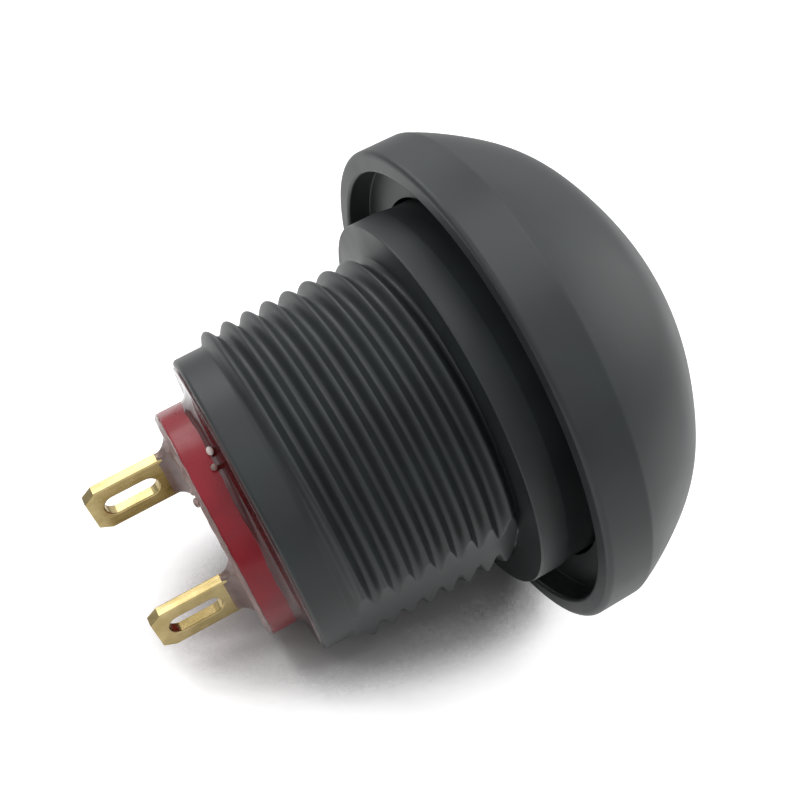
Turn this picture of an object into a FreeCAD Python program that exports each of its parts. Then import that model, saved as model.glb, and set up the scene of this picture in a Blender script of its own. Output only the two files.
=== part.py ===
import FreeCAD, Part
import math
import os
import Sketcher

# Sealed momentary panel pushbutton with a large dome cap.
# Millimetres. Origin on the axis in the panel seat, the rear face of the bushing's flange.
# +Z points out of the panel to the dome, +Y from the upper terminal to the lower one.

doc = FreeCAD.newDocument("pushbutton_switch")
sheet = doc.addObject("Spreadsheet::Sheet", "Sizes")

SIZES = [
    # Bushing
    ("thread_r", 6.0, "major radius of the panel thread"),
    ("thread_pitch", 0.765, "pitch of the thread"),
    ("thread_deep", 0.34, "depth of the thread"),
    ("thread_crest", 0.22, "width of the thread's crests"),
    ("thread_root", 0.12, "width of the thread's roots"),
    ("thread_first", 0.49, "panel seat to the first crest"),
    ("thread_lead", 0.35, "length of the cone that starts the thread"),
    ("lead_r", 5.6, "radius of the plain ring behind the thread"),
    ("lead_len", 1.2, "length of that plain ring"),
    ("bushing_len", 7.4, "panel seat to the bushing's rear end"),
    ("flat_deep", 0.4, "depth of the keying flat below the thread's crests"),
    ("flat_turn", -27.0, "turn of the keying flat about the axis from +Y, degrees"),
    ("flange_r", 7.0, "flange radius"),
    ("flange_len", 1.0, "flange thickness"),
    ("flange_edge", 0.12, "chamfer on the flange's rear edge"),
    ("neck_r", 6.9, "radius of the neck that runs up into the cap"),
    ("neck_top", 2.6, "panel seat to the neck's front face"),
    ("neck_edge", 0.25, "chamfer on the neck's front edge"),
    ("guide_r", 3.0, "plunger guide bore"),
    ("web_drop", 1.2, "panel seat to the rear of the guide wall"),
    ("wall_len", 1.25, "lead ring's radius to the contact chamber"),
    # Cap
    ("travel", 1.0, "stroke of the button"),
    ("rim_gap", 1.15, "panel seat to the cap's rim at rest"),
    ("cap_r", 9.05, "cap radius"),
    ("band_len", 1.6, "straight side band of the cap"),
    ("dome_rise", 5.8, "side band to the top of the dome"),
    ("rim_wall", 0.72, "width of the rim ring"),
    ("rim_round", 0.18, "rounding of the rim's outer edge"),
    ("rim_inner_round", 0.12, "rounding of the rim's inner edge"),
    ("dome_round", 0.3, "rounding where the dome meets the side band"),
    ("recess_len", 0.95, "depth of the ring recess behind the rim"),
    ("recess_round", 0.3, "rounding at the bottom of that recess"),
    ("cap_clear", 0.12, "cap bore over the neck, radial"),
    ("end_clear", 0.2, "cap roof to the neck, fully pressed"),
    ("socket_r", 2.0, "socket in the dome for the plunger's spigot"),
    ("socket_len", 2.5, "depth of that socket"),
    ("socket_end", 0.1, "air above the spigot"),
    # Plunger and its seal
    ("guide_clear", 0.05, "plunger in the guide bore, radial"),
    ("stop_gap", 0.05, "plunger stop to the guide wall at rest"),
    ("stop_clear", 0.3, "plunger stop in the chamber, radial"),
    ("stop_len", 0.75, "thickness of the plunger stop"),
    ("tail_r", 0.9, "plunger tail"),
    ("tail_end", 0.23, "tail end below the retaining clip"),
    ("seal_mid", 0.7, "panel seat to the middle of the o-ring"),
    ("seal_sec_r", 0.34, "o-ring section radius"),
    ("seal_clear", 0.01, "o-ring to the guide bore"),
    ("gland_len", 0.95, "width of the o-ring gland"),
    # Moving contact
    ("spring_room", 1.15, "plunger stop to the contact disc"),
    ("disc_r", 2.75, "contact disc"),
    ("disc_len", 0.3, "thickness of the contact disc"),
    ("disc_clear", 0.08, "contact disc over the plunger tail, radial"),
    ("clip_r", 1.2, "retaining clip, outside"),
    ("clip_groove_r", 0.6, "clip groove in the plunger tail"),
    ("clip_len", 0.25, "thickness of the retaining clip"),
    ("clip_clear", 0.02, "retaining clip to the disc, and in its groove"),
    ("tip_r", 0.5, "silver contact tips"),
    ("tip_len", 0.3, "height of the tips under the disc"),
    ("contact_gap", 0.7, "open contact gap at rest"),
    ("fixed_tip_len", 0.4, "height of the tips on the terminals"),
    # Springs
    ("return_wire_r", 0.2, "return spring wire radius"),
    ("return_mid_r", 3.55, "return spring mean radius"),
    ("return_half_turns", 7.0, "return spring, half turns"),
    ("contact_wire_r", 0.11, "contact spring wire radius"),
    ("contact_mid_r", 1.3, "contact spring mean radius"),
    ("contact_half_turns", 5.0, "contact spring, half turns"),
    ("spring_clear", 0.03, "spring ends to their seats"),
    # Base and terminals
    ("base_clear", 0.08, "base in the chamber, radial"),
    ("base_out", 1.4, "base beyond the bushing's rear end"),
    ("base_edge", 0.12, "chamfer on the base's rear edge"),
    ("well_r", 1.45, "well in the base for the plunger tail"),
    ("well_len", 0.5, "depth of that well"),
    ("blade_len", 3.4, "terminal beyond the base"),
    ("blade_wid", 1.8, "terminal width"),
    ("blade_thk", 0.45, "terminal thickness"),
    ("blade_off", 2.31, "axis to each terminal"),
    ("blade_turn", 45.0, "turn of the blades about the axis, degrees"),
    ("blade_fit", 0.02, "terminal in its slot in the base, each side"),
    ("pad_len", 1.1, "contact pad bent over the base's front"),
    ("pad_wid", 1.3, "width of the contact pad"),
    ("eye_len", 2.0, "solder eye, end to end"),
    ("eye_wid", 0.8, "solder eye width"),
    ("eye_edge", 0.5, "terminal tip to the solder eye"),
    ("tip_cut_len", 0.42, "corner cut on the terminal tip, along it"),
    ("tip_cut_wid", 0.26, "corner cut on the terminal tip, across it"),
    # Sealing resin
    ("ring_wid", 1.15, "resin ring on the bushing's rear face"),
    ("ring_len", 0.42, "height of the resin ring up the base"),
    ("foot_wid", 0.5, "resin foot beyond the blade at its base"),
    ("foot_len", 0.62, "height of the resin foot up the blade"),
    ("foot_skin", 0.05, "resin skin at the top of the foot"),
]


class Dim:
    """A length that knows its number and the sheet expression it comes from."""

    def __init__(self, number, text):
        self.number, self.text = float(number), text

    def _join(self, sign, other, number):
        return Dim(number, "(%s %s %s)" % (self.text, sign, as_dim(other).text))

    def __add__(self, other):
        return self._join("+", other, self.number + as_dim(other).number)

    def __sub__(self, other):
        return self._join("-", other, self.number - as_dim(other).number)

    def __mul__(self, other):
        return self._join("*", other, self.number * as_dim(other).number)

    def __truediv__(self, other):
        return self._join("/", other, self.number / as_dim(other).number)

    def __neg__(self):
        return Dim(-self.number, "(0 - %s)" % self.text)


def as_dim(value):
    return value if isinstance(value, Dim) else Dim(value, repr(float(value)))


class Named:
    pass


d = Named()
for row, (alias, number, note) in enumerate(SIZES, start=1):
    sheet.set("A%d" % row, alias)
    sheet.set("B%d" % row, str(number))
    sheet.setAlias("B%d" % row, alias)
    sheet.set("C%d" % row, note)
    setattr(d, alias, Dim(number, "Sizes." + alias))
doc.recompute()

# Heights along the axis that several pieces share
wall_rear = -d.web_drop
chamber_r = d.lead_r - d.wall_len
rear_end = -d.bushing_len
rim_z = d.rim_gap
dome_z = rim_z + d.band_len
recess_z = rim_z + d.recess_len
roof_z = d.neck_top + d.travel + d.end_clear
socket_z = roof_z + d.socket_len
bore_r = d.neck_r + d.cap_clear
plunger_r = d.guide_r - d.guide_clear
stop_top = wall_rear - d.stop_gap
stop_low = stop_top - d.stop_len
disc_top = stop_low - d.spring_room
disc_low = disc_top - d.disc_len
clip_top = disc_low - d.clip_clear
clip_low = clip_top - d.clip_len
tail_low = clip_low - d.tail_end
tip_low = disc_low - d.tip_len
fixed_top = tip_low - d.contact_gap
pad_top = fixed_top - d.fixed_tip_len
base_front = pad_top - d.blade_thk
base_rear = rear_end - d.base_out
base_r = chamber_r - d.base_clear
blade_end = base_rear - d.blade_len


def bind(obj, **dims):
    """Set properties of an object from sheet expressions."""
    for name, value in dims.items():
        obj.setExpression(name, as_dim(value).text)


def place(obj, x=0.0, y=0.0, z=0.0, turn=None):
    """Bind an object's position, and its turn about Z in degrees."""
    for axis, value in zip("xyz", (x, y, z)):
        obj.setExpression("Placement.Base." + axis, as_dim(value).text)
    if turn is not None:
        obj.Placement.Rotation = FreeCAD.Rotation(FreeCAD.Vector(0, 0, 1), 0)
        obj.setExpression("Placement.Rotation.Angle", "(%s) * 1 deg" % as_dim(turn).text)
    return obj


def cylinder(name, radius, low, high, x=0.0, y=0.0):
    piece = doc.addObject("Part::Cylinder", name)
    bind(piece, Radius=radius, Height=high - low)
    return place(piece, x, y, low)


def box(name, x0, x1, y0, y1, z0, z1):
    piece = doc.addObject("Part::Box", name)
    x0, y0, z0 = as_dim(x0), as_dim(y0), as_dim(z0)
    bind(piece, Length=as_dim(x1) - x0, Width=as_dim(y1) - y0, Height=as_dim(z1) - z0)
    return place(piece, x0, y0, z0)


def fuse(name, pieces):
    whole = doc.addObject("Part::MultiFuse", name)
    whole.Shapes = pieces
    whole.Refine = True
    return whole


def cut(name, base, tool):
    left = doc.addObject("Part::Cut", name)
    left.Base, left.Tool = base, tool
    return left


def plane(body, role):
    return [f for f in body.Origin.OriginFeatures if f.Role == role][0]


def pin_point(sketch, geo, end, x, y):
    """Hold a sketch point at a distance from the origin along both sketch axes."""
    for kind, axis, value in (("DistanceX", -2, x), ("DistanceY", -1, y)):
        value = as_dim(value)
        if abs(value.number) < 1e-9:
            sketch.addConstraint(Sketcher.Constraint("PointOnObject", geo, end, axis))
            continue
        at = sketch.addConstraint(Sketcher.Constraint(kind, -1, 1, geo, end, value.number))
        sketch.setExpression("Constraints[%d]" % at, value.text)


def turned(label, low, points, dome_from=None):
    """A body of revolution from (radius, height) points, with its lowest point at low.

    The edge that starts at the point number dome_from is an arc centred on the axis.
    """
    body = doc.addObject("PartDesign::Body", label)
    place(body, z=low)
    sketch = body.newObject("Sketcher::SketchObject", label + "_profile")
    sketch.AttachmentSupport = [(plane(body, "XZ_Plane"), "")]
    sketch.MapMode = "FlatFace"
    local = [(as_dim(r), as_dim(z) - low) for r, z in points]
    flat = [FreeCAD.Vector(r.number, z.number, 0) for r, z in local]
    count = len(flat)
    for i, start in enumerate(flat):
        end = flat[(i + 1) % count]
        if i == dome_from:
            rise = end.y - start.y
            radius = (start.x**2 + rise**2) / (2 * rise)
            middle = FreeCAD.Vector(0, end.y - radius, 0)
            circle = Part.Circle(middle, FreeCAD.Vector(0, 0, 1), radius)
            first = math.atan2(start.y - middle.y, start.x)
            sketch.addGeometry(Part.ArcOfCircle(circle, first, math.pi / 2))
        else:
            sketch.addGeometry(Part.LineSegment(start, end))
    for i in range(count):
        sketch.addConstraint(Sketcher.Constraint("Coincident", i, 2, (i + 1) % count, 1))
    if dome_from is not None:
        sketch.addConstraint(Sketcher.Constraint("PointOnObject", dome_from, 3, -2))
    for i, (r, z) in enumerate(local):
        pin_point(sketch, i, 1, r, z)
    turn = body.newObject("PartDesign::Revolution", label + "_turn")
    turn.Profile = sketch
    turn.ReferenceAxis = (sketch, ["V_Axis"])
    turn.Angle = 360.0
    doc.recompute()
    return body, turn


def rings(feature, radius, height, low):
    """Names of the feature's circular edges with this radius at this height."""
    found = []
    for i, edge in enumerate(feature.Shape.Edges, start=1):
        if edge.Degenerated or not isinstance(edge.Curve, Part.Circle):
            continue
        same_r = abs(edge.Curve.Radius - radius.number) < 1e-4
        same_z = abs(edge.Curve.Center.z - (height - low).number) < 1e-4
        if same_r and same_z:
            found.append("Edge%d" % i)
    return found


def dress(body, feature, kind, size, radius, height, low):
    """Fillet or chamfer one circular edge of a turned body."""
    edges = rings(feature, as_dim(radius), as_dim(height), as_dim(low))
    if not edges:
        raise RuntimeError("no edge to dress on " + body.Label)
    dressed = body.newObject("PartDesign::" + kind, "%s_%s" % (body.Label, size.text[6:]))
    dressed.Base = (feature, edges)
    bind(dressed, **{"Radius" if kind == "Fillet" else "Size": size})
    doc.recompute()
    return dressed


nodes = {}

# Bushing: thread blank, flange and neck in one moulding, bored for the plunger and the contacts.
# The thread stands in the solid as one ring groove for each turn.
lead_z = rear_end + d.lead_len
thread_low = lead_z + d.thread_lead
root_r = d.thread_r - d.thread_deep
mouth, root = (d.thread_pitch - d.thread_crest) / 2.0, d.thread_root / 2.0
turns = int((-(thread_low + d.thread_first)).number / d.thread_pitch.number)
grooves = []
for turn in reversed(range(turns)):
    middle = -(d.thread_first + d.thread_pitch * (turn + 0.5))
    grooves += [(d.thread_r, middle - mouth), (root_r, middle - root),
                (root_r, middle + root), (d.thread_r, middle + mouth)]
bushing, solid = turned("bushing", rear_end, [
    (d.guide_r, d.neck_top), (d.guide_r, wall_rear), (chamber_r, wall_rear), (chamber_r, rear_end),
    (d.lead_r, rear_end), (d.lead_r, lead_z), (d.thread_r, thread_low), *grooves,
    (d.thread_r, 0.0), (d.flange_r, 0.0), (d.flange_r, d.flange_len), (d.neck_r, d.flange_len),
    (d.neck_r, d.neck_top),
])
solid = dress(bushing, solid, "Chamfer", d.neck_edge, d.neck_r, d.neck_top, rear_end)
solid = dress(bushing, solid, "Chamfer", d.flange_edge, d.flange_r, as_dim(0.0), rear_end)

# The keying flat along the thread, cut from the rear end up to the flange
key = bushing.newObject("Sketcher::SketchObject", "flat_outline")
key.AttachmentSupport = [(plane(bushing, "XY_Plane"), "")]
key.MapMode = "FlatFace"
key.AttachmentOffset = FreeCAD.Placement(FreeCAD.Vector(), FreeCAD.Rotation(FreeCAD.Vector(0, 0, 1), 1))
key.setExpression("AttachmentOffset.Rotation.Angle", d.flat_turn.text + " * 1 deg")
wide, deep, top = d.thread_r + 1.0, d.thread_r - d.flat_deep, d.thread_r + 1.0
corners = [(-wide, deep), (wide, deep), (wide, top), (-wide, top)]
for i, (x, y) in enumerate(corners):
    nx, ny = corners[(i + 1) % 4]
    key.addGeometry(Part.LineSegment(FreeCAD.Vector(x.number, y.number, 0),
                                     FreeCAD.Vector(nx.number, ny.number, 0)))
for i in range(4):
    key.addConstraint(Sketcher.Constraint("Coincident", i, 2, (i + 1) % 4, 1))
key.addConstraint(Sketcher.Constraint("Symmetric", 0, 1, 0, 2, -2))
key.addConstraint(Sketcher.Constraint("Vertical", 1))
key.addConstraint(Sketcher.Constraint("Vertical", 3))
key.addConstraint(Sketcher.Constraint("Horizontal", 2))
pin_point(key, 1, 1, wide, deep)
at = key.addConstraint(Sketcher.Constraint("DistanceY", -1, 1, 2, 1, top.number))
key.setExpression("Constraints[%d]" % at, top.text)
before = solid.Shape.Volume
flat = bushing.newObject("PartDesign::Pocket", "keying_flat")
flat.Profile = key
flat.Reversed = True
bind(flat, Length=d.bushing_len)
doc.recompute()
if not before - flat.Shape.Volume > 1.0:
    raise RuntimeError("the keying flat cuts nothing")
nodes["bushing"] = bushing

# Dome cap: hollow from behind, with a ring recess inside its rim and a socket for the plunger.
recess_r = d.cap_r - d.rim_wall
cap, solid = turned("dome_cap", rim_z, [
    (d.cap_r, rim_z), (d.cap_r, dome_z), (0.0, dome_z + d.dome_rise), (0.0, socket_z),
    (d.socket_r, socket_z), (d.socket_r, roof_z), (bore_r, roof_z), (bore_r, recess_z),
    (recess_r, recess_z), (recess_r, rim_z),
], dome_from=1)
solid = dress(cap, solid, "Fillet", d.dome_round, d.cap_r, dome_z, rim_z)
solid = dress(cap, solid, "Fillet", d.rim_round, d.cap_r, rim_z, rim_z)
solid = dress(cap, solid, "Fillet", d.recess_round, recess_r, recess_z, rim_z)
solid = dress(cap, solid, "Fillet", d.rim_inner_round, recess_r, rim_z, rim_z)
nodes["dome_cap"] = cap

# Plunger: spigot in the dome, guided shank with the seal gland, stop, and tail for the contact disc.
gland_r = d.guide_r - d.seal_clear - d.seal_sec_r * 2.0
gland_low, gland_top = d.seal_mid - d.gland_len / 2.0, d.seal_mid + d.gland_len / 2.0
plunger, solid = turned("plunger", tail_low, [
    (0.0, tail_low), (d.tail_r, tail_low), (d.tail_r, clip_low - d.clip_clear),
    (d.clip_groove_r, clip_low - d.clip_clear), (d.clip_groove_r, clip_top + d.clip_clear / 2.0),
    (d.tail_r, clip_top + d.clip_clear / 2.0), (d.tail_r, stop_low),
    (chamber_r - d.stop_clear, stop_low), (chamber_r - d.stop_clear, stop_top),
    (plunger_r, stop_top), (plunger_r, gland_low), (gland_r, gland_low), (gland_r, gland_top),
    (plunger_r, gland_top), (plunger_r, roof_z), (d.socket_r, roof_z),
    (d.socket_r, socket_z - d.socket_end), (0.0, socket_z - d.socket_end),
])
nodes["plunger"] = plunger

# O-ring that seals the plunger in the guide bore
seal = doc.addObject("Part::Torus", "plunger_o_ring")
bind(seal, Radius1=gland_r + d.seal_sec_r, Radius2=d.seal_sec_r)
nodes["plunger_o_ring"] = place(seal, z=d.seal_mid)

# Contact disc that floats on the plunger tail, with two silver tips, held by a snap clip
nodes["contact_disc"] = cut(
    "contact_disc",
    cylinder("disc_blank", d.disc_r, disc_low, disc_top),
    cylinder("disc_hole", d.tail_r + d.disc_clear, disc_low - 1.0, disc_top + 1.0),
)
clip_bore = fuse("clip_opening", [
    cylinder("clip_hole", d.clip_groove_r + d.clip_clear, clip_low - 1.0, clip_top + 1.0),
    box("clip_mouth", -d.clip_groove_r, d.clip_groove_r, 0.0, d.clip_r + 1.0,
        clip_low - 1.0, clip_top + 1.0),
])
nodes["retaining_clip"] = cut(
    "retaining_clip", cylinder("clip_blank", d.clip_r, clip_low, clip_top), clip_bore)

# Two springs of round wire. Each half turn is half a torus, tilted to climb, so turns run on smoothly.
def coil(name, wire_r, mid_r, half_turns, low, high):
    count = max(2, int(round(half_turns.number)))
    climb = (high - low - wire_r * 2.0 - d.spring_clear * 2.0) / float(count)
    tilt = "atan(%s)" % (climb / (mid_r * 2.0)).text
    half = doc.addObject("Part::Torus", name + "_half_turn")
    bind(half, Radius2=wire_r)
    half.setExpression("Radius1", "%s / cos(%s)" % (mid_r.text, tilt))
    half.Angle3 = 180.0
    half.Placement.Rotation = FreeCAD.Rotation(FreeCAD.Vector(0, 1, 0), 1)
    half.setExpression("Placement.Rotation.Angle", tilt)
    turns = []
    for i in range(count):
        step = doc.addObject("Part::Compound", "%s_turn_%d" % (name, i))
        step.Links = [half]
        height = low + wire_r + d.spring_clear + climb * (i + 0.5)
        turns.append(place(step, z=height, turn=as_dim(180.0 * (i % 2))))
    return fuse(name, turns)


nodes["return_spring"] = coil(
    "return_spring", d.return_wire_r, d.return_mid_r, d.return_half_turns, base_front, stop_low)
nodes["contact_spring"] = coil(
    "contact_spring", d.contact_wire_r, d.contact_mid_r, d.contact_half_turns, disc_top, stop_low)

# One terminal, drawn with its blade across X and its pad bent over to +Y, then cut to shape.
# The two terminals stand opposite each other and are turned about their own blades.
half_w, half_t, half_eye = d.blade_wid / 2.0, d.blade_thk / 2.0, d.eye_wid / 2.0
eye_low = blade_end + d.eye_edge + half_eye
eye_top = blade_end + d.eye_edge + d.eye_len - half_eye
for name, side, spin in (("upper", -1.0, d.blade_turn - 90.0), ("lower", 1.0, d.blade_turn + 90.0)):
    blade = box(name + "_blade", -half_w, half_w, -half_t, half_t, blade_end, pad_top)
    pad = box(name + "_pad", -(d.pad_wid / 2.0), d.pad_wid / 2.0, -half_t, d.pad_len - half_t,
              base_front, pad_top)
    ends = []
    for at, height in (("low", eye_low), ("top", eye_top)):
        end = doc.addObject("Part::Cylinder", "%s_eye_%s" % (name, at))
        bind(end, Radius=half_eye, Height=d.blade_thk * 4.0)
        end.Placement.Rotation = FreeCAD.Rotation(FreeCAD.Vector(1, 0, 0), 90)
        ends.append(place(end, 0.0, d.blade_thk * 2.0, height))
    ends.append(box(name + "_eye", -half_eye, half_eye, -d.blade_thk, d.blade_thk, eye_low, eye_top))
    for at, sign in (("left", -1.0), ("right", 1.0)):
        wedge = doc.addObject("Part::Wedge", "%s_corner_%s" % (name, at))
        # A triangular bar that takes the corner off the tip
        reach = d.tip_cut_wid
        bind(wedge, Xmin=0.0, Xmax=reach, Ymin=0.0, Ymax=d.tip_cut_len,
             Zmin=0.0, Zmax=d.blade_thk * 2.0, Z2min=0.0, Z2max=d.blade_thk * 2.0,
             X2min=reach if sign > 0 else 0.0, X2max=reach if sign > 0 else 0.0)
        wedge.Placement.Rotation = FreeCAD.Rotation(FreeCAD.Vector(1, 0, 0), 90)
        ends.append(place(wedge, half_w - reach if sign > 0 else -half_w, d.blade_thk, blade_end))
    terminal = cut("terminal_" + name, fuse(name + "_blank", [blade, pad]), fuse(name + "_cuts", ends))
    nodes["terminal_" + name] = place(terminal, 0.0, d.blade_off * side, 0.0, turn=spin)

# Contact tips stand over the middle of each pad. The pads point inward, turned from +Y like the blades.
pad_mid = d.pad_len / 2.0 - half_t
turn_sin = Dim(math.sin(math.radians(d.blade_turn.number)), "sin(%s * 1 deg)" % d.blade_turn.text)
turn_cos = Dim(math.cos(math.radians(d.blade_turn.number)), "cos(%s * 1 deg)" % d.blade_turn.text)
tip_x, tip_y = pad_mid * turn_cos, d.blade_off - pad_mid * turn_sin
for name, sign in (("upper", 1.0), ("lower", -1.0)):
    x, y = tip_x * sign, tip_y * -sign
    nodes["fixed_tip_" + name] = cylinder("fixed_tip_" + name, d.tip_r, pad_top, fixed_top, x, y)
    nodes["disc_tip_" + name] = cylinder("disc_tip_" + name, d.tip_r, tip_low, disc_low, x, y)

# Red base: a round plug with a well for the plunger tail and a slot for each terminal
body, solid = turned("base_plug", base_rear, [
    (0.0, base_rear), (base_r, base_rear), (base_r, base_front), (d.well_r, base_front),
    (d.well_r, base_front - d.well_len), (0.0, base_front - d.well_len),
])
dress(body, solid, "Chamfer", d.base_edge, base_r, base_rear, base_rear)
slots = []
for name, side, spin in (("upper", -1.0, d.blade_turn - 90.0), ("lower", 1.0, d.blade_turn + 90.0)):
    slot = box(name + "_slot", -half_w - d.blade_fit, half_w + d.blade_fit,
               -half_t - d.blade_fit, half_t + d.blade_fit, base_rear - 2.0, base_front + 2.0)
    turned_slot = doc.addObject("Part::Compound", name + "_slot_in_place")
    turned_slot.Links = [slot]
    slots.append(place(turned_slot, 0.0, d.blade_off * side, 0.0, turn=spin))
nodes["base"] = cut("base", body, fuse("base_slots", slots))

# Sealing resin: a sloped ring between the bushing's rear face and the base
resin, solid = turned("resin_ring", rear_end - d.ring_len, [
    (base_r, rear_end - d.ring_len), (base_r + d.ring_wid, rear_end), (base_r, rear_end),
])
nodes["resin_ring"] = resin

# Sealing resin: a foot that the resin draws up each terminal
for name, side, spin in (("upper", -1.0, d.blade_turn - 90.0), ("lower", 1.0, d.blade_turn + 90.0)):
    foot = doc.addObject("Part::Wedge", name + "_foot_blank")
    full_x, full_y = d.blade_wid + d.foot_wid * 2.0, d.blade_thk + d.foot_wid * 2.0
    thin_x, thin_y = d.foot_wid - d.foot_skin, d.foot_wid - d.foot_skin
    # The wedge tapers along its own Y, which is turned to point at the terminal's tip
    bind(foot, Xmin=0.0, Xmax=full_x, Zmin=0.0, Zmax=full_y, Ymin=0.0, Ymax=d.foot_len,
         X2min=thin_x, X2max=full_x - thin_x, Z2min=thin_y, Z2max=full_y - thin_y)
    foot.Placement.Rotation = FreeCAD.Rotation(FreeCAD.Vector(1, 0, 0), -90)
    place(foot, -(full_x / 2.0), -(full_y / 2.0), base_rear)
    core = box(name + "_foot_core", -half_w, half_w, -half_t, half_t,
               base_rear - d.foot_len - 1.0, base_rear + 1.0)
    nodes["resin_foot_" + name] = place(
        cut("resin_foot_" + name, foot, core), 0.0, d.blade_off * side, 0.0, turn=spin)

doc.recompute()

# Nothing is written unless every object came out whole
for obj in doc.Objects:
    if "Invalid" in obj.State or "Error" in obj.State:
        raise RuntimeError("%s did not build: %s" % (obj.Name, obj.State))
os.makedirs("parts", exist_ok=True)
for node, obj in nodes.items():
    shape = obj.Shape
    if shape.isNull() or not shape.isValid() or not shape.Solids or shape.Volume <= 0:
        raise RuntimeError(node + " is not a valid solid")
    obj.Label = node
    shape.exportStep(os.path.join("parts", node + ".step"))
    bb = shape.BoundBox
    print("%-20s solids %d volume %8.3f mm3  x %.2f..%.2f  y %.2f..%.2f  z %.2f..%.2f" % (
        node, len(shape.Solids), shape.Volume, bb.XMin, bb.XMax, bb.YMin, bb.YMax, bb.ZMin, bb.ZMax))
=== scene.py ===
import math

import bmesh
import bpy
from mathutils import Matrix, Vector, noise


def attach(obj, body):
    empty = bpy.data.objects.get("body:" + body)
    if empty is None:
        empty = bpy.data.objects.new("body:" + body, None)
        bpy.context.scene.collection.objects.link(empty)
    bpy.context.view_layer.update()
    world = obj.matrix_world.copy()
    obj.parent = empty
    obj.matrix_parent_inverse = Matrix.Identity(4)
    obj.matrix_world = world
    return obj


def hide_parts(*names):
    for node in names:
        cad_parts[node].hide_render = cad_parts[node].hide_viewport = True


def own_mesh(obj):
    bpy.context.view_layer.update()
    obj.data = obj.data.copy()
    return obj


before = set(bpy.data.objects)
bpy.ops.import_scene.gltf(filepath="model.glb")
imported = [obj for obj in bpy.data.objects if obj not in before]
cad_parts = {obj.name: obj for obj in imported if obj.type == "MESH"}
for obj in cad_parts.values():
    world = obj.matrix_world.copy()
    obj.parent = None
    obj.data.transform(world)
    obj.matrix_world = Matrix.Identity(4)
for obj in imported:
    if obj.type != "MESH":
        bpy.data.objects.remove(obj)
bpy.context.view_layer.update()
MM = 0.001  # lengths below are in millimetres, and this turns them to metres
FULL_TURN = 2 * math.pi

# Bushing: thread, plain rear ring, keying flat, flange, neck and bores
THREAD_R, THREAD_DEEP, PITCH, CREST_AT = 6.0, 0.34, 0.765, -5.804
THREAD_START, THREAD_END, RUN_IN = -6.32, 0.0, 0.22
LEAD_R, REAR_END = 5.6, -7.4
FLAT_OFF, FLAT_TURN = 5.6, math.radians(63)
FLANGE_R, FLANGE_TOP, NECK_R, NECK_TOP = 7.0, 1.0, 6.9, 2.6
FLANGE_TAPER = 0.7  # height of the slope from the flange to the neck
GUIDE_R, WALL_REAR, CHAMBER_R = 3.0, -1.2, 4.35

# Cap: band, dome, recess, bore and socket, and how the dome departs from a plain sphere
CAP_R, RIM_Z, BAND_TOP, DOME_TOP = 9.05, 1.15, 2.75, 8.55
RECESS_R, RECESS_Z, BORE_R, ROOF_Z, SOCKET_R, SOCKET_Z = 8.33, 2.1, 7.02, 3.8, 2.0, 6.3
BREAK_IN, BREAK_REACH = 0.03, 1.6
SHOULDER_Z, SHOULDER_OUT, SHOULDER_BELOW, SHOULDER_ABOVE = 5.85, 0.18, 1.35, 0.9

# Base and terminals; each terminal has its place across the base and its turn in degrees
BASE_R, BASE_REAR, BASE_FRONT, WELL_R, WELL_Z = 4.27, -8.8, -5.3, 1.45, -5.8
BLADE_W, BLADE_T, BLADE_END, PAD_TOP = 1.8, 0.45, -12.2, -4.85
EYE_W, EYE_L, EYE_EDGE, TIP_CUT_L, TIP_CUT_W = 0.8, 2.0, 0.5, 0.42, 0.26
PAD_W, PAD_L, EDGE_SOFT = 1.3, 1.1, 0.045
TERMINALS = {"upper": (-2.31, -45.0), "lower": (2.31, 135.0)}

# Springs: button's and contact disc's travel, seats, then wire radius, coil radius and turns of each
PRESS, DISC_PRESS, STOP_Z, DISC_Z, SPRING_CLEAR = 1.0, 0.68, -2.0, -3.15, 0.03
RETURN_WIRE, RETURN_R, RETURN_TURNS = 0.2, 3.55, 3.5
CONTACT_WIRE, CONTACT_R, CONTACT_TURNS = 0.11, 1.3, 2.5

# Fineness of the meshes: steps along or round each form
FLAT_STEPS, ROUND_STEPS, THREAD_STEPS, DOME_STEPS = 130, 220, 150, 90
CAP_TURN, BASE_TURN, RESIN_TURN = 240, 160, 240
COIL_STEPS, WIRE_STEPS = 48, 16
WELD, PLATE_WELD, ON_AXIS = 1e-8, 1e-7, 1e-6


# Mesh helpers
def solid_from(name, points, faces, sharp=40.0):
    """A mesh object from points in millimetres, smooth apart from edges over so many degrees."""
    mesh = bpy.data.meshes.new(name)
    mesh.from_pydata([Vector(p) * MM for p in points], [], faces)
    work = bmesh.new()
    work.from_mesh(mesh)
    bmesh.ops.remove_doubles(work, verts=work.verts, dist=WELD)
    bmesh.ops.recalc_face_normals(work, faces=work.faces)
    work.to_mesh(mesh)
    work.free()
    return shown(name, mesh, sharp)


def shown(name, mesh, sharp):
    """Shade a mesh smooth between its sharp edges and put it in the scene."""
    mesh.shade_smooth()
    mesh.set_sharp_from_angle(angle=math.radians(sharp))
    piece = bpy.data.objects.new(name, mesh)
    bpy.context.scene.collection.objects.link(piece)
    return piece


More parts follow.
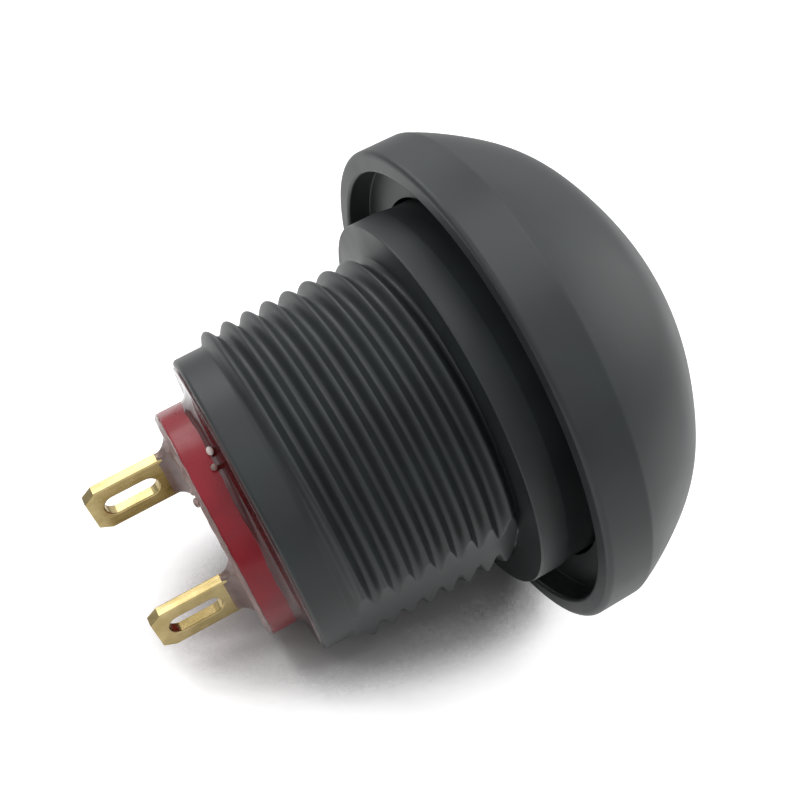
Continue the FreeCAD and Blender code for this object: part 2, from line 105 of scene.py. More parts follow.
def rounded(corners, steps=5, hold=0.02):
    """A closed profile from (radius, height, rounding) corners, with an arc at each rounding.

    A point just before and after each arc holds the shading of the faces beside it flat.
    """
    path = []
    count = len(corners)
    for i, (r, z, fillet) in enumerate(corners):
        here = Vector((r, z))
        if fillet <= 0:
            path.append((r, z))
            continue
        back = (Vector(corners[i - 1][:2]) - here).normalized()
        ahead = (Vector(corners[(i + 1) % count][:2]) - here).normalized()
        half = back.angle(ahead) / 2
        reach = fillet / math.tan(half)
        middle = here + (back + ahead).normalized() * (fillet / math.sin(half))
        first = here + back * reach - middle
        last = here + ahead * reach - middle
        sweep = first.angle_signed(last)
        path.append(tuple(middle + first + back * hold))
        for k in range(steps + 1):
            spot = middle + Matrix.Rotation(-sweep * k / steps, 2) @ first
            path.append((spot.x, spot.y))
        path.append(tuple(middle + last + ahead * hold))
    return path


def lathe(name, profile, angles, shape=None, sharp=40.0):
    """Turn a closed (radius, height) profile about the axis; shape may move a point by its angle."""
    points, faces = [], []
    rows, turns = len(profile), len(angles)
    on_axis = [r < ON_AXIS for r, z in profile]
    for a in angles:
        for r, z in profile:
            if shape is not None:
                r, z = shape(r, z, a)
            points.append((r * math.cos(a), r * math.sin(a), z))
    for i in range(turns):
        for j in range(rows):
            k, m = (i + 1) % turns, (j + 1) % rows
            corners = [i * rows + j, k * rows + j, k * rows + m, i * rows + m]
            if on_axis[j] and on_axis[m]:
                continue
            if on_axis[j]:
                corners.pop(1)
                corners[0] = j
            elif on_axis[m]:
                corners.pop(2)
                corners[-1] = m
            faces.append(corners)
    return solid_from(name, points, faces, sharp)


def skinned(name, rings):
    """A closed mesh over rings of equally many points, with a face across each end."""
    faces = []
    sides, last = len(rings[0]), len(rings) - 1
    for i in range(last):
        for k in range(sides):
            n = (k + 1) % sides
            faces.append([i * sides + k, i * sides + n, (i + 1) * sides + n, (i + 1) * sides + k])
    faces.append(list(range(sides)))
    faces.append(list(range(last * sides, (last + 1) * sides)))
    return solid_from(name, [point for ring in rings for point in ring], faces)


def even_turn(count):
    """Angles round the axis in equal steps."""
    return [FULL_TURN * i / count for i in range(count)]


def uneven(angle, parts):
    """A smooth wander round the axis, added up from parts of (waves, seed, height)."""
    c, s = math.cos(angle), math.sin(angle)
    return sum(high * noise.noise(Vector((c * waves, s * waves, seed))) for waves, seed, high in parts)


# Materials: pattern sizes in millimetres, where a pattern's scale is one over its size
FLOW_CLOUD = 2.2222
MOULD_GRAIN, GRAIN_DEEP = 0.071429, 0.01  # the real grain is about half as wide, too fine to show
DRAW_LINE, LINE_DEEP = 0.166667, 0.01  # the real lines lie closer together, too fine to show
METAL_TONE = 0.714286
RED_CLOUD, RED_WAVE, WAVE_DEEP = 1.428571, 0.454545, 0.05
RESIN_TONE, HIGHLIGHT_CLOUD = 0.625, 0.111111
ACETAL_CLOUD, TURNING_MARK = 1.25, 0.07854
GREASE_PATCH = 0.833333
WAVE_BAND = math.pi / 10  # spacing of a wave texture's bands at a scale of one

# Where the values of a noise mostly lie, and the numbers of a range node's inputs
NOISE_LOW, NOISE_HIGH = 0.3, 0.7
FROM_LOW, FROM_HIGH, TO_LOW, TO_HIGH = 1, 2, 3, 4


def linear(code):
    """Linear colour from an sRGB hex code."""
    parts = [int(code[i:i + 2], 16) / 255 for i in (1, 3, 5)]
    return [c / 12.92 if c <= 0.04045 else ((c + 0.055) / 1.055) ** 2.4 for c in parts] + [1.0]


def feed(tree, node, inputs):
    """Link each input that gets a socket, or a node for its first output, and set the others."""
    for key, value in inputs.items():
        if isinstance(value, bpy.types.Node):
            value = value.outputs[0]
        if isinstance(value, bpy.types.NodeSocket):
            tree.links.new(value, node.inputs[key])
        else:
            node.inputs[key].default_value = value


def add(tree, kind, inputs, stops=(), **settings):
    """Add one node with its settings and links; stops are a ramp's places and sRGB colours."""
    node = tree.nodes.new("ShaderNode" + kind)
    for key, value in settings.items():
        setattr(node, key, value)
    for i, (place, colour) in enumerate(stops):
        node.color_ramp.elements[i].position = place
        node.color_ramp.elements[i].color = linear(colour)
    feed(tree, node, inputs)
    return node


def new_material(name):
    """A material with its tree, its shader, and the place on the piece in millimetres."""
    made = bpy.data.materials.new(name)
    made.use_nodes = True
    tree = made.node_tree
    where = add(tree, "TexCoord", {}).outputs["Object"]
    mm = add(tree, "Mapping", {"Vector": where, "Scale": (1 / MM, 1 / MM, 1 / MM)})
    return made, tree, tree.nodes["Principled BSDF"], mm


def surface(tree, shader, tone, colours, gloss, rough):
    """Vary the colour by one pattern and the roughness by another, each between two ends."""
    stops = zip((NOISE_LOW, NOISE_HIGH), colours)
    roughness = {"Value": gloss, FROM_LOW: NOISE_LOW, FROM_HIGH: NOISE_HIGH,
                 TO_LOW: rough[0], TO_HIGH: rough[1]}
    feed(tree, shader, {"Base Color": add(tree, "ValToRGB", {"Fac": tone}, stops),
                        "Roughness": add(tree, "MapRange", roughness)})


def moulded_black(name, colours, rough, grain):
    """Satin black nylon: faint flow clouds and a fine mould grain that breaks up the highlights."""
    made, tree, shader, mm = new_material(name)
    cloud = add(tree, "TexNoise", {"Vector": mm, "Scale": 1 / FLOW_CLOUD, "Detail": 4.0})
    fine = add(tree, "TexNoise", {"Vector": mm, "Scale": 1 / MOULD_GRAIN, "Detail": 3.0})
    surface(tree, shader, cloud, colours, cloud, rough)
    bump = add(tree, "Bump", {"Height": fine, "Strength": grain, "Distance": GRAIN_DEEP * MM})
    feed(tree, shader, {"Normal": bump, "Specular IOR Level": 0.38})
    return made


def drawn_metal(name, colours, rough, stretch):
    """Bare or plated metal: fine draw lines along one direction streak the gloss."""
    made, tree, shader, mm = new_material(name)
    lines = add(tree, "Mapping", {"Vector": mm, "Scale": stretch})
    draw = add(tree, "TexNoise", {"Vector": lines, "Scale": 1 / DRAW_LINE, "Detail": 4.0})
    tone = add(tree, "TexNoise", {"Vector": mm, "Scale": 1 / METAL_TONE, "Detail": 3.0})
    surface(tree, shader, tone, colours, draw, rough)
    bump = add(tree, "Bump", {"Height": draw, "Strength": 0.25, "Distance": LINE_DEEP * MM})
    feed(tree, shader, {"Normal": bump, "Metallic": 1.0})
    return made


def red_thermoset():
    """Glossy red moulding: deeper clouds in the colour and small waves in the gloss."""
    made, tree, shader, mm = new_material("glossy_red_thermoset")
    cloud = add(tree, "TexNoise", {"Vector": mm, "Scale": 1 / RED_CLOUD, "Detail": 5.0})
    wave = add(tree, "TexNoise", {"Vector": mm, "Scale": 1 / RED_WAVE, "Detail": 2.0})
    surface(tree, shader, cloud, ("#8a1022", "#a6192b"), wave, (0.26, 0.38))
    bump = add(tree, "Bump", {"Height": wave, "Strength": 0.25, "Distance": WAVE_DEEP * MM})
    feed(tree, shader, {"Normal": bump, "Specular IOR Level": 0.3,
                        "Coat Weight": 0.2, "Coat Roughness": 0.14})
    return made


def sealing_resin(name, colours, rough, clear):
    """Set epoxy: what lies under it shows through, tinted and clouded, with wet highlights."""
    made, tree, shader, mm = new_material(name)
    tone = add(tree, "TexNoise", {"Vector": mm, "Scale": 1 / RESIN_TONE, "Detail": 3.0})
    surface(tree, shader, tone, colours, tone, rough)
    feed(tree, shader, {"Transmission Weight": clear, "IOR": 1.53})
    return made


def painted_highlight_resin():
    """Epoxy drops painted milky white as a highlight: glossy, with pale clouds."""
    made, tree, shader, mm = new_material("epoxy_drop_painted_highlight")
    cloud = add(tree, "TexNoise", {"Vector": mm, "Scale": 1 / HIGHLIGHT_CLOUD, "Detail": 3.0})
    surface(tree, shader, cloud, ("#e9e1d6", "#f6f2ea"), cloud, (0.08, 0.16))
    feed(tree, shader, {"Subsurface Weight": 0.2, "Subsurface Scale": 0.1 * MM})
    return made


def natural_acetal():
    """Turned natural acetal: milky with a soft glow and faint turning marks."""
    made, tree, shader, mm = new_material("natural_acetal")
    marks = add(tree, "TexWave", {"Vector": mm, "Scale": WAVE_BAND / TURNING_MARK, "Distortion": 1.0},
                bands_direction="Z").outputs["Fac"]
    cloud = add(tree, "TexNoise", {"Vector": mm, "Scale": 1 / ACETAL_CLOUD, "Detail": 3.0})
    surface(tree, shader, cloud, ("#dcdad2", "#e8e6df"), marks, (0.3, 0.42))
    feed(tree, shader, {"Subsurface Weight": 0.15, "Subsurface Scale": 0.4 * MM})
    return made


def greased_rubber():
    """Black seal rubber: dull, with wet patches of grease."""
    made, tree, shader, mm = new_material("greased_black_rubber")
    grease = add(tree, "TexNoise", {"Vector": mm, "Scale": 1 / GREASE_PATCH, "Detail": 4.0})
    surface(tree, shader, grease, ("#141414", "#1d1d1d"), grease, (0.25, 0.7))
    return made


cap_black = moulded_black("satin_black_nylon_cap", ("#2e3132", "#353a3b"), (0.38, 0.46), 0.12)
bushing_black = moulded_black("satin_black_nylon_bushing", ("#2b2e2f", "#323738"), (0.37, 0.47), 0.2)
red = red_thermoset()
ring_resin = sealing_resin("clear_epoxy_over_red", ("#74222a", "#90343a"), (0.05, 0.12), 0.75)
foot_resin = sealing_resin("clouded_epoxy_foot", ("#b49a94", "#ccb6ae"), (0.12, 0.22), 0.55)
painted_highlight_drop = painted_highlight_resin()
acetal = natural_acetal()
rubber = greased_rubber()

# Metals, with the draw lines stretched along the blade, across the strip, or not at all
ALONG_BLADE, ACROSS_STRIP, ALL_WAYS = (1.0, 1.0, 0.08), (0.08, 1.0, 1.0), (1.0, 1.0, 1.0)
gold = drawn_metal("gold_plated_brass", ("#a99767", "#c1af80"), (0.18, 0.3), ALONG_BLADE)
brass = drawn_metal("rolled_brass_strip", ("#b88f45", "#c9a35a"), (0.25, 0.38), ACROSS_STRIP)
silver = drawn_metal("headed_silver", ("#c8c8c4", "#dcdcd8"), (0.2, 0.3), ALL_WAYS)
steel = drawn_metal("drawn_spring_steel", ("#8f9092", "#a8a9aa"), (0.25, 0.4), ALL_WAYS)


def dress(piece, material, body, slot, *nodes):
    """Give a new piece its material and body, and hide the solids that it stands for; its slot is not
    used.
    """
    piece.data.materials.clear()
    piece.data.materials.append(material)
    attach(piece, body)
    if nodes:
        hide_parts(*nodes)


# Bushing with the real thread
FLAT_SPREAD = math.radians(26)  # to each side of the flat's middle, where the steps are finer
ROOT_SPREAD = 1.08  # over one, so that each groove has a narrow flat root
OUTSIDE = CHAMBER_R + 0.5  # a point farther out is on the outer wall
FLAT_FRONT = -0.01  # the flat ends just short of the flange's rear face
LEAD_STEP = 0.02  # from the last row of the plain ring to the thread's first


def bushing_angles():
    """Angles round the bushing, finer near the keying flat, where the thread runs out into it."""
    rest = FULL_TURN - 2 * FLAT_SPREAD
    near = [FLAT_TURN - FLAT_SPREAD + 2 * FLAT_SPREAD * i / FLAT_STEPS for i in range(FLAT_STEPS + 1)]
    far = [FLAT_TURN + FLAT_SPREAD + rest * i / ROUND_STEPS for i in range(1, ROUND_STEPS)]
    return near + far


def thread_radius(z, angle):
    """The thread's surface: a right-hand helix with rounded crests that rises from the plain ring."""
    turn = (z - CREST_AT) / PITCH - angle / FULL_TURN
    away = abs(turn - round(turn)) * 2
    groove = THREAD_DEEP * (0.5 - 0.5 * math.cos(math.pi * min(1.0, away * ROOT_SPREAD)))
    risen = max(0.0, min(1.0, (z - THREAD_START) / RUN_IN))
    return LEAD_R + (THREAD_R - groove - LEAD_R) * risen * risen * (3 - 2 * risen)


def bushing_point(r, z, angle):
    """Put the thread and the keying flat on a point of the turned bushing."""
    if THREAD_START <= z <= THREAD_END and r > OUTSIDE:
        r = thread_radius(z, angle)
    across = math.cos(angle - FLAT_TURN)
    if z < FLAT_FRONT and across > 0:
        r = min(r, FLAT_OFF / across)
    return r, z


thread_long = THREAD_END - THREAD_START
thread_rows = [(THREAD_R, THREAD_START + thread_long * i / THREAD_STEPS) for i in range(THREAD_STEPS + 1)]
rear_rows = rounded([
    (CHAMBER_R, REAR_END, 0.1), (LEAD_R, REAR_END, 0.14), (LEAD_R, THREAD_START - LEAD_STEP, 0),
])
front_rows = rounded([
    (FLANGE_R, 0.0, 0.1), (FLANGE_R, FLANGE_TOP, 0.4), (NECK_R, FLANGE_TOP + FLANGE_TAPER, 0.4),
    (NECK_R, NECK_TOP, 0.22), (GUIDE_R, NECK_TOP, 0.12), (GUIDE_R, WALL_REAR, 0.05),
    (CHAMBER_R, WALL_REAR, 0.1),
])
bushing_rows = rear_rows + thread_rows + front_rows
bushing = lathe("bushing_threaded", bushing_rows, bushing_angles(), bushing_point, sharp=50.0)
dress(bushing, bushing_black, "housing", "bushing_nylon", "bushing")

# Dome cap, turned smooth; the break's rounding takes up the first steps of the dome
BREAK_STEPS = 3
dome_high = DOME_TOP - BAND_TOP
dome_r = (CAP_R ** 2 + dome_high ** 2) / (2 * dome_high)
dome_mid = DOME_TOP - dome_r
dome_edge = math.atan2(BAND_TOP - dome_mid, CAP_R)


def dome_swell(z):
    """How far the dome stands out from a plain sphere: full at the shoulder, drawn in at the break."""
    reach = SHOULDER_BELOW if z < SHOULDER_Z else SHOULDER_ABOVE
    drawn_in = max(0.0, 1 - (z - BAND_TOP) / BREAK_REACH) ** 2 * BREAK_IN
    return SHOULDER_OUT * math.exp(-((z - SHOULDER_Z) / reach) ** 2) - drawn_in


dome_arc = []
for i in range(BREAK_STEPS, DOME_STEPS + 1):
    angle = dome_edge + (math.pi / 2 - dome_edge) * i / DOME_STEPS
    z = dome_mid + dome_r * math.sin(angle)
    dome_arc.append((max(0.0, dome_r * math.cos(angle) + dome_swell(z)), z))
dome_arc[-1] = (0.0, DOME_TOP)
cap_rows = rounded([
    (0.0, SOCKET_Z, 0), (SOCKET_R, SOCKET_Z, 0), (SOCKET_R, ROOF_Z, 0.1), (BORE_R, ROOF_Z, 0.2),
    (BORE_R, RECESS_Z, 0.03), (RECESS_R, RECESS_Z, 0.04), (RECESS_R, RIM_Z, 0.12), (CAP_R, RIM_Z, 0.18),
    (CAP_R - BREAK_IN, BAND_TOP, 0.3), dome_arc[0] + (0,),
])
cap = lathe("dome_cap_turned", cap_rows + dome_arc[1:], even_turn(CAP_TURN))
dress(cap, cap_black, "button", "cap_nylon", "dome_cap")

# Red base with a softly rounded rear edge
base_rows = rounded([
    (0.0, BASE_REAR, 0), (BASE_R, BASE_REAR, 0.2), (BASE_R, BASE_FRONT, 0.05), (WELL_R, BASE_FRONT, 0),
    (WELL_R, WELL_Z, 0), (0.0, WELL_Z, 0),
])
base = lathe("base_moulding", base_rows, even_turn(BASE_TURN))
dress(base, red, "housing", "base_red", "base")

# Set drops and lumps of resin: degrees, radius, height, length, width, and number of the material
# Drop material 1 is milky white, a painted highlight; material 2, the pale foot resin, is a fainter
# painted highlight.
DROPS = [(-31.3, 4.38, -7.76, 0.17, 0.11, 1), (-24.0, 4.35, -7.88, 0.12, 0.12, 2)]
FILM_LUMPS = [(-15.0, 4.06, -8.86, 0.17, 0.1, 0), (-20.0, 4.08, -8.83, 0.12, 0.07, 0)]
DROP_DEEP = 0.8  # a drop's depth for each part of its width


def add_resin(mesh, films, drops):
    """Join films and smooth set drops to a resin mesh."""
    work = bmesh.new()
    work.from_mesh(mesh)
    for film in films:
        work.from_mesh(film)
    for turn, r, z, long, wide, finish in drops:
        place = Matrix.Rotation(math.radians(turn), 4, "Z") @ Matrix.Translation(Vector((r, 0, z)) * MM)
        shape = Matrix.Diagonal(Vector((wide * DROP_DEEP, long, wide, 1 / MM)) * MM)
        drop = bmesh.ops.create_uvsphere(
            work, u_segments=20, v_segments=12, radius=1.0, matrix=place @ shape)
        for face in {f for v in drop["verts"] for f in v.link_faces}:
            face.material_index = finish
            face.smooth = True
    work.to_mesh(mesh)
    work.free()


# Resin ring: a hollow curve from the base out over the bushing's rear face, with a raised lip
SUNK = 0.02  # how far resin reaches into what it covers
RING_OUT, RING_UP, RING_CURVE, RING_THIN, RING_STEPS = 1.13, 0.4, 0.6, 0.05, 10
RING_LIMIT = LEAD_R - 0.16
RING_LIP = [  # share of the way out, and height
    (0.72, 0.05), (0.82, 0.06), (0.9, 0.085), (0.95, 0.085), (0.985, 0.06), (1.0, 0.02), (1.0, -SUNK),
]
RING_SWAY = [(2.2, 1.7, 0.05), (9.0, 4.1, 0.02)]
RING_SWELL = [(2.2, 1.7, 0.12), (9.0, 4.1, 0.03)]


def ring_point(r, z, angle):
    """Make the ring uneven, as it set: its border sways outwards and its top swells up and down."""
    share = max(0.0, (r - BASE_R) / RING_OUT)
    lift = max(0.0, min(1.0, (REAR_END - z) / RING_UP))
    out = r + uneven(angle, RING_SWAY) * share
    return min(out, RING_LIMIT), z + uneven(angle, RING_SWELL) * lift * (1 - share)


ring_rows = [(BASE_R - SUNK, REAR_END + SUNK), (BASE_R - SUNK, REAR_END - RING_UP - SUNK)]
for i in range(RING_STEPS + 1):
    bend = i / RING_STEPS * math.pi / 2
    high = RING_THIN + (RING_UP - RING_THIN) * (1 - math.sin(bend))
    ring_rows.append((BASE_R + RING_CURVE * (1 - math.cos(bend)), REAR_END - high))
ring_rows += [(BASE_R + RING_OUT * share, REAR_END - high) for share, high in RING_LIP]
ring = lathe("resin_meniscus_ring", ring_rows, even_turn(RESIN_TURN), ring_point)
dress(ring, ring_resin, "housing", "sealing_resin", "resin_ring")
# Slot 1 holds the drops' painted highlight, slot 2 the fainter one.
ring.data.materials.append(painted_highlight_drop)
ring.data.materials.append(foot_resin)
add_resin(ring.data, [], DROPS)

# Film of resin over the base's rear edge, ragged in front and lumpy behind; out and up from that edge
FILM_UP, FILM_OUT, FILM_BACK = 0.13, 0.012, 0.03
FILM = [
    (-0.1, FILM_UP - 0.03), (-SUNK, FILM_UP), (FILM_OUT * 0.6, FILM_UP - 0.01),
    (FILM_OUT, FILM_UP - 0.04), (-SUNK, 0.06), (-0.1, -0.02), (-0.22, -FILM_BACK),
    (-0.6, -FILM_BACK * 0.6), (-0.85, 0.03), (-0.5, 0.06),
]
FILM_RAGGED = [(3.0, 7.3, 0.03), (12.0, 2.2, 0.025)]
FILM_LUMPY = [(3.0, 7.3, 0.03), (12.0, 2.2, 0.03)]
film_rows = [(BASE_R + out, BASE_REAR + high) for out, high in FILM]


def film_point(r, z, angle):
    """Let the film's front border and its rear face wander."""
    border = max(0.0, (z - BASE_REAR) / FILM_UP)
    back = max(0.0, (BASE_REAR - z) / FILM_BACK)
    return r, z + uneven(angle, FILM_RAGGED) * border - uneven(angle, FILM_LUMPY) * back


# Resin feet: rounded rings that draw in up the blade
FOOT_UP, FOOT_THIN, FOOT_SPREAD, FOOT_HOLLOW, FOOT_CORNER = 0.62, 0.05, 0.43, 2.2, 0.55
FOOT_LEVELS, FOOT_SIDES = 10, 48


def foot_rings():
    """Rings of resin round a blade at the axis, from the base to where the resin ends."""
    rings = []
    for i in range(FOOT_LEVELS + 1):
        t = i / FOOT_LEVELS
        skirt = FOOT_THIN + FOOT_SPREAD * (1 - t) ** FOOT_HOLLOW
        ring = []
        for a in even_turn(FOOT_SIDES):
            c, s = math.cos(a), math.sin(a)
            x = (BLADE_W / 2 + skirt) * math.copysign(abs(c) ** FOOT_CORNER, c)
            y = (BLADE_T / 2 + skirt) * math.copysign(abs(s) ** FOOT_CORNER, s)
            ring.append((x, y, BASE_REAR + SUNK - FOOT_UP * t))
        rings.append(ring)
    return rings


# Terminals, blanked from strip with rolled edges and a solder eye
TERMINAL_SHARP = 14.0


def blade_outline():
    """The blade with its two cut corners at the tip."""
    half, low = BLADE_W / 2, BLADE_END
    return [(-half, PAD_TOP), (-half, low + TIP_CUT_L), (-half + TIP_CUT_W, low),
            (half - TIP_CUT_W, low), (half, low + TIP_CUT_L), (half, PAD_TOP)]


def eye_outline(steps=24):
    """The slot of the solder eye, round at both ends."""
    half, outline = EYE_W / 2, []
    low = BLADE_END + EYE_EDGE + half
    top = BLADE_END + EYE_EDGE + EYE_L - half
    for middle, start in ((low, math.pi), (top, 0.0)):
        for i in range(steps + 1):
            angle = start + math.pi * i / steps
            outline.append((half * math.cos(angle), middle + half * math.sin(angle)))
    return outline


def strip_mesh(name, outlines):
    """A flat plate with holes, cut from the terminals' strip with soft edges, standing in X and Z."""
    drawing = bpy.data.curves.new(name, "CURVE")
    drawing.dimensions = "2D"
    drawing.fill_mode = "BOTH"
    drawing.extrude = (BLADE_T / 2 - EDGE_SOFT) * MM
    drawing.bevel_depth = EDGE_SOFT * MM
    drawing.bevel_resolution = 2
    drawing.offset = -EDGE_SOFT * MM
    for outline in outlines:
        line = drawing.splines.new("POLY")
        line.points.add(len(outline) - 1)
        for point, (x, z) in zip(line.points, outline):
            point.co = (x * MM, z * MM, 0, 1)
        line.use_cyclic_u = True
    holder = bpy.data.objects.new(name, drawing)
    bpy.context.scene.collection.objects.link(holder)
    bpy.context.view_layer.update()
    ready = holder.evaluated_get(bpy.context.evaluated_depsgraph_get())
    mesh = bpy.data.meshes.new_from_object(ready)
    bpy.data.objects.remove(holder)
    mesh.transform(Matrix.Rotation(math.pi / 2, 4, "X"))
    return mesh


def terminal_blade(name, place):
    """A blade with its contact pad bent over at the front."""
    half = PAD_W / 2
    blade = strip_mesh("blade", [blade_outline(), eye_outline()])
    pad = strip_mesh("pad", [[(-half, 0), (half, 0), (half, PAD_L), (-half, PAD_L)]])
    pad.transform(Matrix.Translation(Vector((0, -BLADE_T / 2, PAD_TOP - BLADE_T / 2)) * MM)
                  @ Matrix.Rotation(-math.pi / 2, 4, "X"))
    work = bmesh.new()
    work.from_mesh(blade)
    work.from_mesh(pad)
    work.transform(place)
    bmesh.ops.remove_doubles(work, verts=work.verts, dist=PLATE_WELD)
    whole = bpy.data.meshes.new(name)
    work.to_mesh(whole)
    work.free()
    return shown(name, whole, TERMINAL_SHARP)


for name, (off, turn) in TERMINALS.items():
    place = Matrix.Translation(Vector((0, off, 0)) * MM) @ Matrix.Rotation(math.radians(turn), 4, "Z")
    terminal = terminal_blade("terminal_blade_" + name, place)
    dress(terminal, gold, "housing", "gold_plate", "terminal_" + name)
    foot = skinned("resin_foot_cone_" + name, foot_rings())
    foot.data.transform(place)
    if name == "upper":
        film = lathe("resin_film", film_rows, even_turn(RESIN_TURN), film_point)
        add_resin(foot.data, [film.data], FILM_LUMPS)
        bpy.data.objects.remove(film)
    dress(foot, foot_resin, "housing", "sealing_resin", "resin_foot_" + name)

# Pieces inside keep their solids and take real finishes
INSIDE = {
    "plunger": acetal, "plunger_o_ring": rubber, "contact_disc": brass, "retaining_clip": steel,
    "fixed_tip_upper": silver, "fixed_tip_lower": silver,
    "disc_tip_upper": silver, "disc_tip_lower": silver,
}
for node, finish in INSIDE.items():
    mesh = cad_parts[node].data
    mesh.materials.clear()
    mesh.materials.append(finish)


# Springs of round wire, wound as real coils
def spring_coil(name, low, high, wire, middle, turns):
    """A coil between two seats, with a little room left at each."""
    rings = []
    count = round(turns * COIL_STEPS)
    first = low + SPRING_CLEAR + wire
    climb = high - SPRING_CLEAR - wire - first
    for i in range(count + 1):
        a, z = FULL_TURN * turns * i / count, first + climb * i / count
        ring = []
        for b in even_turn(WIRE_STEPS):
            r = middle + wire * math.cos(b)
            ring.append((r * math.cos(a), r * math.sin(a), z + wire * math.sin(b)))
        rings.append(ring)
    return skinned(name, rings)


return_coil = spring_coil("return_spring_coil", BASE_FRONT, STOP_Z, RETURN_WIRE, RETURN_R, RETURN_TURNS)
dress(return_coil, steel, "housing", "spring_steel", "return_spring")
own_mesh(return_coil)

contact_coil = spring_coil("contact_spring_coil", DISC_Z, STOP_Z, CONTACT_WIRE, CONTACT_R, CONTACT_TURNS)
dress(contact_coil, steel, "button", "spring_steel", "contact_spring")
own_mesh(contact_coil)

# Floor: the switch lies on it on the cap's rim and the bushing's rear edge
LIE_TURN = math.radians(132)
RIM_IN, RIM_UP, REAR_IN, REAR_UP = 0.013, 0.114, 0.01, 0.088  # where the two roundings touch it
FLOOR_HALF, FLOOR_CLEAR = 600.0, 0.02
across, along = Vector((math.cos(LIE_TURN), math.sin(LIE_TURN), 0)), Vector((0, 0, 1))
rim_touch = across * (CAP_R - RIM_IN) + along * (RIM_Z + RIM_UP)
rear_touch = across * (LEAD_R - REAR_IN) + along * (REAR_END + REAR_UP)
run = (rim_touch - rear_touch).normalized()
up = run.cross(along.cross(across)).normalized()
beside = run.cross(up)
floor_mid = (rim_touch + rear_touch) / 2 - up * FLOOR_CLEAR
floor_mesh = bpy.data.meshes.new("floor")
floor_mesh.from_pydata([(floor_mid + (run * u + beside * v) * FLOOR_HALF) * MM
                        for u, v in ((-1, -1), (-1, 1), (1, 1), (1, -1))], [], [[0, 1, 2, 3]])
floor = bpy.data.objects.new("floor", floor_mesh)
bpy.context.scene.collection.objects.link(floor)

# Paper's painted light: how far it looks for what shades it, where its painted shadow ends and its white
# begins, its glow
SHADE_REACH, PAINTED_SHADE_END, PAINTED_WHITE_FROM = 30.0, 0.29, 0.48
PAINTED_PAPER_GLOW, MIRRORED = 0.85, 0.75
PAINTED_LIT_SIDE = 0.017  # painted light: how much sooner the paper is white towards the dome, for each millimetre


def white_sweep():
    """White paper: takes the lamps' soft shadow, reads white to the eye through a glow of painted light
    with a painted shadow near the switch, and is see-through from behind.
    """
    made, tree, shader, mm = new_material("white_paper_sweep")
    ray = add(tree, "LightPath", {}).outputs
    # The glow is painted light: it fades to a painted shadow where the switch closes over the paper, comes
    # sooner towards the dome, and shows to the camera, in reflections and through clear parts.
    painted_shade_occlusion = add(tree, "AmbientOcclusion", {"Distance": SHADE_REACH * MM}, samples=16).outputs["AO"]
    towards = add(tree, "VectorMath", {0: mm, 1: run * PAINTED_LIT_SIDE}, operation="DOT_PRODUCT").outputs["Value"]
    light = add(tree, "Math", {0: painted_shade_occlusion, 1: towards}, operation="ADD")
    lift = add(tree, "MapRange", {"Value": light, FROM_LOW: PAINTED_SHADE_END, FROM_HIGH: PAINTED_WHITE_FROM,
                                  TO_LOW: 0.0, TO_HIGH: PAINTED_PAPER_GLOW}, interpolation_type="SMOOTHSTEP")
    mirrored = add(tree, "Math", {0: ray["Is Glossy Ray"], 1: MIRRORED}, operation="MULTIPLY")
    looked_at = add(tree, "Math", {0: ray["Is Camera Ray"], 1: mirrored}, operation="MAXIMUM")
    through = add(tree, "Math", {0: looked_at, 1: ray["Is Transmission Ray"]}, operation="MAXIMUM")
    glow = add(tree, "Math", {0: through, 1: lift}, operation="MULTIPLY")
    feed(tree, shader, {"Base Color": linear("#c8c8c8"), "Roughness": 0.9, "Specular IOR Level": 0.1,
                        "Emission Color": linear("#ffffff"), "Emission Strength": glow})
    behind = add(tree, "NewGeometry", {}).outputs["Backfacing"]
    clear = add(tree, "BsdfTransparent", {})
    feed(tree, tree.nodes["Material Output"],
         {"Surface": add(tree, "MixShader", {0: behind, 1: shader, 2: clear})})
    return made


floor_mesh.materials.append(white_sweep())

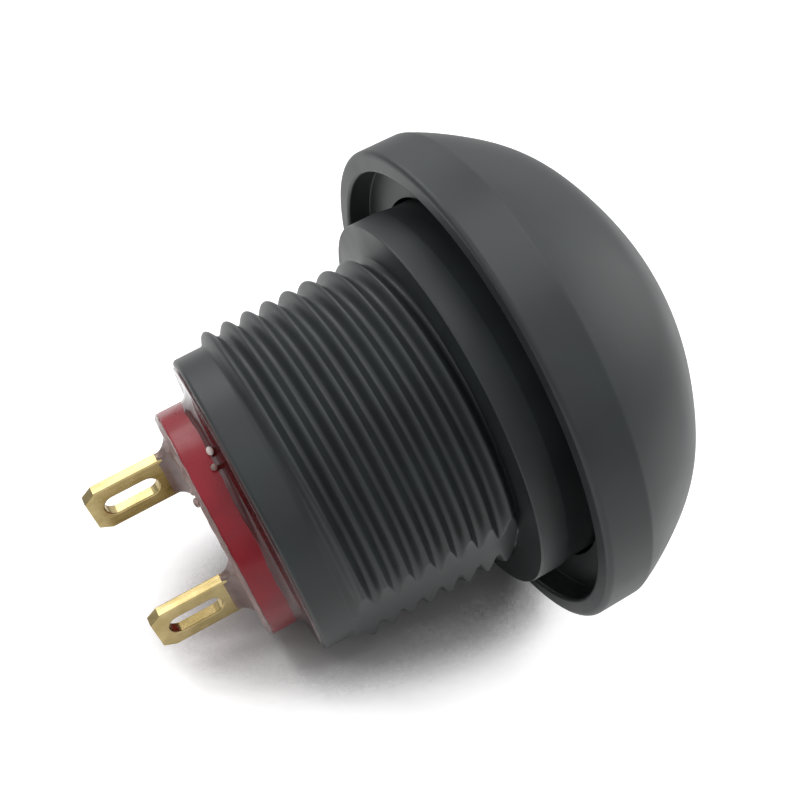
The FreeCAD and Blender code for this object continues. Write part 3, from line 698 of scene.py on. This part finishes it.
# World: even studio white behind everything, at a plain level as light
HORIZON, OVERHEAD, ROOM_LIGHT = 0.35, 1.0, 0.55
HORIZON_TOP, OVERHEAD_FROM = 0.05, 0.5  # the heights between which the one turns to the other
world = bpy.data.worlds.new("studio")
bpy.context.scene.world = world
world.use_nodes = True
sky = world.node_tree
ray = add(sky, "LightPath", {}).outputs
seen = add(sky, "Math", {0: ray["Is Camera Ray"], 1: ray["Is Transmission Ray"]}, operation="MAXIMUM")
facing = add(sky, "TexCoord", {}).outputs["Generated"]
height = add(sky, "VectorMath", {0: facing, 1: up}, operation="DOT_PRODUCT").outputs["Value"]
glow = add(sky, "MapRange", {"Value": height, FROM_LOW: HORIZON_TOP, FROM_HIGH: OVERHEAD_FROM,
                             TO_LOW: HORIZON, TO_HIGH: OVERHEAD})
share = add(sky, "MapRange", {"Value": ray["Is Glossy Ray"], TO_LOW: ROOM_LIGHT})
lit = add(sky, "Math", {0: glow, 1: share}, operation="MULTIPLY")
level = add(sky, "MapRange", {"Value": seen, TO_LOW: lit})
feed(sky, sky.nodes["Background"], {"Color": linear("#ffffff"), "Strength": level})

# Soft square lamps that look at the switch: direction, side and watts
LAMP_AWAY = 110.0
LAMPS = {
    "overhead_box": (up * 0.95 + run * 0.1, 80.0, 0.04),
    "dome_box": (up * 0.45 + run * 0.9, 60.0, 0.016),
    "window_box": (up * 0.67 - run * 0.32 - beside * 0.68, 54.0, 0.022),
    "rear_box": (up * 0.45 - run * 0.9 - beside * 0.1, 60.0, 0.009),
}
for name, (towards, wide, watts) in LAMPS.items():
    lamp = bpy.data.lights.new(name, "AREA")
    lamp.size = wide * MM
    lamp.energy = watts
    holder = bpy.data.objects.new(name, lamp)
    holder.location = towards.normalized() * LAMP_AWAY * MM
    holder.rotation_mode = "QUATERNION"
    holder.rotation_quaternion = (-towards).to_track_quat("-Z", "Y")
    bpy.context.scene.collection.objects.link(holder)

# Camera, as the photograph was taken: close, from behind the panel side and above the floor
lens = bpy.data.cameras.new("camera")
lens.lens, lens.sensor_width = 47.8297, 36.0
lens.shift_x, lens.shift_y = 0.055, 0.0975
lens.clip_start, lens.clip_end = 0.001, 10.0
camera = bpy.data.objects.new("camera", lens)
camera.location = Vector((36.9944, -1.9388, -8.54)) * MM
camera.rotation_euler = [math.radians(a) for a in (105.7847, -60.9588, 71.7408)]
bpy.context.scene.collection.objects.link(camera)
bpy.context.scene.camera = camera
bpy.context.scene.view_settings.view_transform = "Standard"
